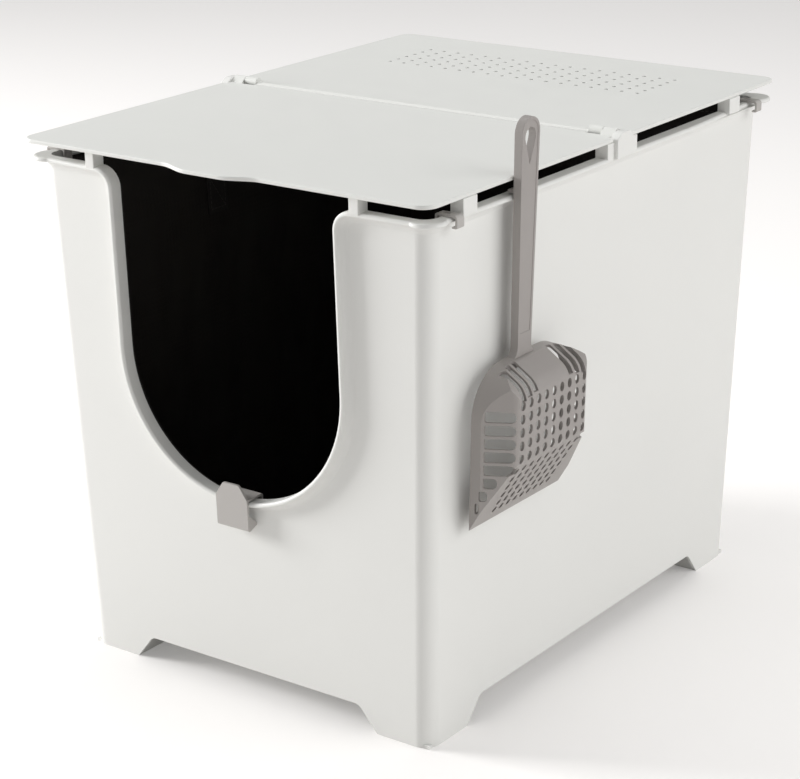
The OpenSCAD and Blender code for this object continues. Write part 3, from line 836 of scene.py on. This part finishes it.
def grip_band(name):
    """Webbing grip on the right side: a loop whose two ends are sewn to the bag."""
    half, bend, top_z = STRAP_HALF, 30, LINER_TOP - 15
    near_x = half - STRAP_W
    inside = side_x(top_z) - WALL_T - LINER_GAP - LINER_T - 1.2
    outer = rounded([(-half, -STRAP_DROP), (-half, 0), (half, 0), (half, -STRAP_DROP)],
                    [0, bend, bend, 0], 14)
    hole = rounded([(near_x, -STRAP_DROP), (near_x, -STRAP_W), (-near_x, -STRAP_W),
                    (-near_x, -STRAP_DROP)], [0, bend / 3, bend / 3, 0], 14)

    def on_bag(u, v, w):
        return (inside + v * math.sin(SIDE_LEAN) - w * math.cos(SIDE_LEAN), u,
                top_z + v * math.cos(SIDE_LEAN) + w * math.sin(SIDE_LEAN))

    band = soften(prism(name, outer + hole, 0, STRAP_T, on_bag), 0.35, 2)
    verts, faces = [], []
    inward = Vector((-math.cos(SIDE_LEAN), 0, math.sin(SIDE_LEAN)))
    seam_in, low, high = 3, -66, -38
    for side in (-1, 1):
        near, far = side * (near_x + seam_in), side * (half - seam_in)
        box_path = [(near, low), (near, high), (far, high), (far, low), (near, low), (far, high)]
        path = [Vector(on_bag(u, v, STRAP_T)) for u, v in box_path]
        new_verts, new_faces = stitch_row(path, [inward] * len(path), 2.6, 1.6)
        faces += [tuple(i + len(verts) for i in face) for face in new_faces]
        verts += new_verts
    return band, new_object(name + "_stitches", verts, faces)


def build_liner():
    cloth, hem, thread = bag_cloth(), bag_hem(), hem_stitches()
    finish_piece(cloth, "tub", CLOTH)
    finish_piece(hem, "tub", WEBBING)
    finish_piece(thread, "tub", THREAD)
    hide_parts("liner_bag")
    band, seams = grip_band("liner_grip_right")
    for pair in zip(on_left_too(band), on_left_too(seams), ("right", "left")):
        finish_piece(pair[0], "tub", WEBBING)
        finish_piece(pair[1], "tub", THREAD)
        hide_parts(f"liner_handle_{pair[2]}")


# Liner's hardware


def build_hooks():
    """Flat hooks over the side rims; the tip turns in under the flange."""
    cloth_in = side_x(LINER_TOP) - WALL_T - LINER_GAP - LINER_T
    inner, outer = cloth_in - 0.4 - HOOK_T, RIM_X + 0.3
    low, top = RIM_Z - HOOK_DROP, RIM_Z + HOOK_T
    leg, tip, tip_top = RIM_Z - 13, outer - 3, low + 1.5
    section = rounded(
        [(inner, leg), (inner + HOOK_T, leg), (inner + HOOK_T, RIM_Z),
         (outer, RIM_Z), (outer, tip_top), (tip, tip_top), (tip, low),
         (outer + HOOK_T, low), (outer + HOOK_T, top), (inner, top)],
        [0.3, 0.3, 0.8, 0.8, 0.5, 0.6, 0.6, 1.6, 3.2, 2.2], 6,
    )
    slot_near, slot_far, slot_half = inner + 4, inner + 11, 1.6
    for name, y in (("front", -HOOK_Y), ("rear", HOOK_Y)):
        hook = prism(f"liner_hook_{name}_right_body", section, y - HOOK_W / 2, y + HOOK_W / 2,
                     endways)
        slot = rounded([(slot_near, y - slot_half), (slot_far, y - slot_half),
                        (slot_far, y + slot_half), (slot_near, y + slot_half)], [1.5] * 4, 5)
        combine(hook, prism("slot", slot, RIM_Z - 1, top + 1, upright), "DIFFERENCE")
        soften(hook, 0.45, 3)
        for piece, side in zip(on_left_too(hook), ("right", "left")):
            finish_piece(piece, "tub", GREY)
            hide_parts(f"liner_hook_{name}_{side}")


def build_clip():
    """Clip over the entry's lip: bridge, front plate, barb under the lip and tongue."""
    under, foot, back_low = LIP_LOW + 1.8, LIP_LOW - 24.5, LIP_LOW - 9
    top, front = under + HOOK_T, ENTRY_OUT + 0.5
    out = front + HOOK_T
    back = -WALL_T - LINER_GAP - LINER_T - 1
    barb = LIP_LOW - RIM_T - RIM_FILLET - 0.5
    section = rounded(
        [(back - HOOK_T, back_low), (back, back_low), (back, under), (front, under),
         (front, barb), (0.5, foot + 6), (0.5, foot + 4), (out, foot), (out, top),
         (back - HOOK_T, top)],
        [0.4, 0.4, 0.8, 0.5, 2, 0.6, 0.6, 2.2, 0.9, 2], 6,
    )

    def along_wall(u, v, w):
        return on_front_wall(w, v, u)

    body = prism("liner_clip_body", section, CLIP_X - CLIP_W / 2, CLIP_X + CLIP_W / 2, along_wall)
    half, tip, tip_z = CLIP_W / 2, TONGUE_W / 2, LIP_LOW + TONGUE_H
    outline = rounded(
        [(-half, top - HOOK_T - 1), (half, top - HOOK_T - 1), (half, top - 0.5),
         (tip, tip_z), (-tip, tip_z), (-half, top - 0.5)],
        [0, 0, 4, 3, 3, 4], 8,
    )
    tongue = prism("tongue", [(u + CLIP_X, v) for u, v in outline], front, out, on_front_wall)
    combine(body, tongue, "UNION")
    soften(body, 0.6, 3)
    finish_piece(body, "tub", GREY)
    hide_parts("liner_clip")


# Scoop, drawn with x across it, y up from the basket's lip and z out from the wall

SCOOP_AT = (side_x(SCOOP_Z) + HANG_GAP, -141, SCOOP_Z)
SLOPE_L, SHOULDER_R, TOP_TURN, TOP_REAR = 58.0, 38.0, 14.0, 10.0
FRONT_HALF, KNEE = 48.5, 7.0
HOLE_PITCH, HOLE_RX, HOLE_RY = 10.75, 2.9, 4.0
SMALL_PITCH, SMALL_RX, SMALL_RY, SMALL_CUT = 7.6, 2.5, 2.8, 7.0
SLOT_H, SLOT_IN, SLOT_OUT = 8.6, 45, 81
BAND_PITCH, BAND_HALF = 8.6, 2.9


def on_scoop(x, y, z):
    """A point of the scoop's own drawing, hung beside the right wall and leaning with it."""
    cos, sin = math.cos(SIDE_LEAN), math.sin(SIDE_LEAN)
    return (SCOOP_AT[0] + z * cos + y * sin, SCOOP_AT[1] + x, SCOOP_AT[2] + y * cos - z * sin)


def scoop_side(u, v, w):
    return on_scoop(w, u, v)


def scoop_plan(u, v, w):
    return on_scoop(u, w, v)


def slope_depth(y):
    """Depth of the basket at y, along its slanting face."""
    return y * SCOOP_DEPTH / SLOPE_L


def basket_block(t, soft):
    """The basket's outer form pulled in by t: its front, side and top outlines crossed."""
    a, b, top = SCOOP_LIP_W / 2 - t, SCOOP_W / 2 - t, SCOOP_L - t
    front = rounded([(-a, -1), (a, -1), (b, top), (-b, top)],
                    [0, 0, SHOULDER_R - t, SHOULDER_R - t], 14)
    block = prism("scoop_basket", front, -t - 1, SCOOP_DEPTH, on_scoop)
    back, face = -0.1 - t, SCOOP_DEPTH - t
    side = rounded([(t * 2, back), (SLOPE_L, face), (SCOOP_L - TOP_TURN, face),
                    (top, TOP_REAR), (top, back)], [0, 16, 18, 6, 0], 12)
    combine(block, prism("side", side, -SCOOP_W, SCOOP_W, scoop_side), "INTERSECT")
    a, b = SCOOP_W / 2 + 1 - t, FRONT_HALF - t * 0.6
    plan = rounded([(-a, back), (a, back), (a, KNEE), (b, face), (-b, face), (-a, KNEE)],
                   [0, 0, 6, 10, 10, 6], 10)
    combine(block, prism("plan", plan, -2 * SCOOP_L, 2 * SCOOP_L, scoop_plan), "INTERSECT")
    if soft:
        soften(block, soft, 3, 28)
    return block


def oval(cx, cy, rx, ry, count=14):
    return [(cx + rx * x, cy + ry * y) for x, y in arc((0, 0), 1, 0, 360, count)[:-1]]


def basket_cutters():
    """Groups of tall holes in the front, small ones in the slope, slots and shoulder bands."""
    holes, small, slots, bands = [], [], [], []
    for i in range(-4, 5):
        for j in range(5):
            hole = oval(i * HOLE_PITCH, SLOPE_L + 2.5 + j * HOLE_PITCH, HOLE_RX, HOLE_RY)
            holes.append(prism("hole", hole, 12, SCOOP_DEPTH + 5, on_scoop))
        for j in range(6):
            y = 11 + j * SMALL_PITCH
            hole = oval(i * HOLE_PITCH * (0.86 + 0.0024 * y), y, SMALL_RX, SMALL_RY)
            small.append(prism("hole", hole, slope_depth(y) - SMALL_CUT, slope_depth(y) + SMALL_CUT,
                               on_scoop))
    for side in (-1, 1):
        for j in range(8):
            y = 15.6 + j * HOLE_PITCH
            reach = min(20.5, slope_depth(y) - 3.5)
            start = min(10.5, 2 + reach / 2)
            low, high = sorted((side * SLOT_IN, side * SLOT_OUT))
            end = max(start + 3, min(31, start + reach))
            if y < 2 * HOLE_PITCH:
                end = start + 3
            elif y < 45:
                end = min(end, slope_depth(y) - 1)
            r = min(3.6, (end - start) / 2.1)
            slot = rounded([(y, start), (y + SLOT_H, start), (y + SLOT_H, end), (y, end)],
                           [min(1.6, r), min(1.6, r), r, r], 5)
            slots.append(prism("slot", slot, low, high, scoop_side))
        for i in range(3):
            x = side * (24.5 + i * BAND_PITCH)
            left, right, top = x - BAND_HALF, x + BAND_HALF, SCOOP_DEPTH + 5
            slot = rounded([(left, 8 + i), (right, 8 + i), (right, top), (left, top)],
                           [2.8, 2.8, 0, 0], 5)
            bands.append(prism("slot", slot, SCOOP_L - 18.5 - i * 1.5, SCOOP_L + 9, scoop_plan))
    return holes, small, slots, bands


def scoop_handle():
    """Handle with a flared foot on the basket, a shallow dish and a teardrop eye."""
    top = SCOOP_TOTAL - GRIP_W / 2
    half, eye = NECK_W / 2, top - 3
    foot, web_w, bend_w, bend_h = SCOOP_L - 1.4, 14, 9, 10
    flare = [(half + web_w, SCOOP_L - 8), (half + web_w, SCOOP_L - 2.5), (half + bend_w, foot)]
    for degrees in range(15, 91, 15):
        a = math.radians(degrees)
        flare.append((half + bend_w - bend_w * math.sin(a), foot + bend_h - bend_h * math.cos(a)))
    side = flare + [(GRIP_W / 2, top)]
    outline = side + arc((0, top), GRIP_W / 2, 0, 180, 24)[1:-1] + [(-x, y) for x, y in side[::-1]]
    rim, dish_low, eye_r, eye_tail = 2.4, SCOOP_L + 18, 7, 21
    dish = [(GRIP_W / 2 - rim, top), (half - rim, dish_low), (rim - half, dish_low),
            (rim - GRIP_W / 2, top)]
    dish += arc((0, top), GRIP_W / 2 - rim, 180, 0, 20)[1:-1]
    drop = arc((0, eye), eye_r, -20, 200, 18) + [(0, eye - eye_tail)]

    def beside(u, v, w):
        return on_scoop(u + GRIP_X, v, w)

    bar = prism("scoop_handle", outline, 0, GRIP_T, beside)
    combine(bar, prism("dish", dish, GRIP_T - 0.5, GRIP_T + 1, beside), "DIFFERENCE")
    combine(bar, prism("eye", drop, -1, GRIP_T + 2, beside), "DIFFERENCE")
    return soften(bar, 0.8, 3, 30)


def hang_arm():
    """Arm behind the handle that reaches over the rim under the lid."""
    low, arm_t, arm_in, pad, half = (RIM_Z + OVER_RIM - SCOOP_Z) / math.cos(SIDE_LEAN), 3, 7.5, 8, 8
    section = rounded(
        [(low, -arm_in), (low + arm_t, -arm_in), (low + arm_t, -3), (low + pad, -0.1),
         (low + pad, 1.9), (low, 1.9)], [1, 1, 2, 0, 0, 1], 4)
    return soften(prism("scoop_arm", section, GRIP_X - half, GRIP_X + half, scoop_side), 0.5, 3)


def build_scoop():
    basket = basket_block(0, 1.6)
    combine(basket, basket_block(SCOOP_T, 0), "DIFFERENCE")
    for group in basket_cutters():
        combine(basket, join(*group), "DIFFERENCE")
    smooth(basket, 36)
    arm = hang_arm()
    for piece in (basket, scoop_handle(), arm):
        finish_piece(piece, "scoop", SCOOP)
    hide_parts("scoop")
    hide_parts("scoop_hook")


# Stage

FLOOR_HALF = 30000
FLOOR_GLOW = 0.15
AMBIENT = 0.38


def stage_floor():
    """Pale floor that glows a little, for the camera alone."""
    signs = ((-1, -1), (1, -1), (1, 1), (-1, 1))
    verts = [(x * FLOOR_HALF, y * FLOOR_HALF, 0) for x, y in signs]
    floor = new_object("floor", verts, [(0, 1, 2, 3)])
    mat, nodes, links, bsdf = shader("floor")
    bsdf.inputs["Base Color"].default_value = (0.92, 0.90, 0.885, 1)
    bsdf.inputs["Roughness"].default_value = 0.9
    bsdf.inputs["Specular IOR Level"].default_value = 0.1
    path = nodes.new("ShaderNodeLightPath")
    glow = nodes.new("ShaderNodeMix")
    glow.data_type = "FLOAT"
    glow.inputs["A"].default_value = 0.0
    glow.inputs["B"].default_value = FLOOR_GLOW
    links.new(path.outputs["Is Camera Ray"], glow.inputs["Factor"])
    bsdf.inputs["Emission Color"].default_value = (1, 1, 1, 1)
    links.new(glow.outputs["Result"], bsdf.inputs["Emission Strength"])
    floor.data.materials.append(mat)


def stage_world():
    """Even light on the object, plain white where the camera sees past the floor."""
    world = bpy.data.worlds.new("studio")
    bpy.context.scene.world = world
    world.use_nodes = True
    nodes, links = world.node_tree.nodes, world.node_tree.links
    background = nodes["Background"]
    background.inputs["Color"].default_value = (1, 1, 1, 1)
    path = nodes.new("ShaderNodeLightPath")
    level = nodes.new("ShaderNodeMix")
    level.data_type = "FLOAT"
    level.inputs["A"].default_value = AMBIENT
    level.inputs["B"].default_value = 1.0
    links.new(path.outputs["Is Camera Ray"], level.inputs["Factor"])
    links.new(level.outputs["Result"], background.inputs["Strength"])


def softbox(name, place, size, watts):
    """Square area light at place, in metres, turned towards the middle of the box."""
    data = bpy.data.lights.new(name, "AREA")
    data.shape = "SQUARE"
    data.size = size
    data.energy = watts
    lamp = bpy.data.objects.new(name, data)
    lamp.location = place
    aim = Vector((0, 0, 0.22)) - Vector(place)
    lamp.rotation_euler = aim.to_track_quat("-Z", "Y").to_euler()
    bpy.context.scene.collection.objects.link(lamp)


def stage_lights():
    softbox("left_key", (-3.2, -1.3, 1.2), 1.2, 128)
    softbox("right_fill", (3.2, 0.9, 1.5), 3.2, 60)
    softbox("top", (-0.3, 0.5, 3.2), 2.0, 26)


def stage_camera():
    """Camera above and in front of the box's right front corner."""
    yaw, pitch, roll = math.radians(36.40), math.radians(19.28), math.radians(-0.907)
    place = placed((1129.5, -1559.8, 870.0))
    focal_px, width_px = 2333.4, 800
    ahead = Vector((-math.sin(yaw) * math.cos(pitch), math.cos(yaw) * math.cos(pitch),
                    -math.sin(pitch)))
    right = ahead.cross(Vector((0, 0, 1))).normalized()
    up = right.cross(ahead)
    right, up = (right * math.cos(roll) + up * math.sin(roll),
                 -right * math.sin(roll) + up * math.cos(roll))
    data = bpy.data.cameras.new("camera")
    data.sensor_fit = "HORIZONTAL"
    data.sensor_width = 36
    data.lens = focal_px * 36 / width_px
    data.clip_end = 200
    camera = bpy.data.objects.new("camera", data)
    turn = Matrix((right, up, -ahead)).transposed().to_4x4()
    camera.matrix_world = Matrix.Translation(place) @ turn
    bpy.context.scene.collection.objects.link(camera)
    bpy.context.scene.camera = camera


def paint_node(node, material):
    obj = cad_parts[node]
    obj.data.materials.clear()
    obj.data.materials.append(material)


stage_camera()
stage_floor()
stage_world()
stage_lights()
build_tub()
build_lids()
for node in ("hinge_pin_left", "hinge_pin_right"):
    paint_node(node, STEEL)
build_hooks()
build_clip()
build_scoop()
build_liner()

bpy.context.scene.view_settings.view_transform = "Standard"
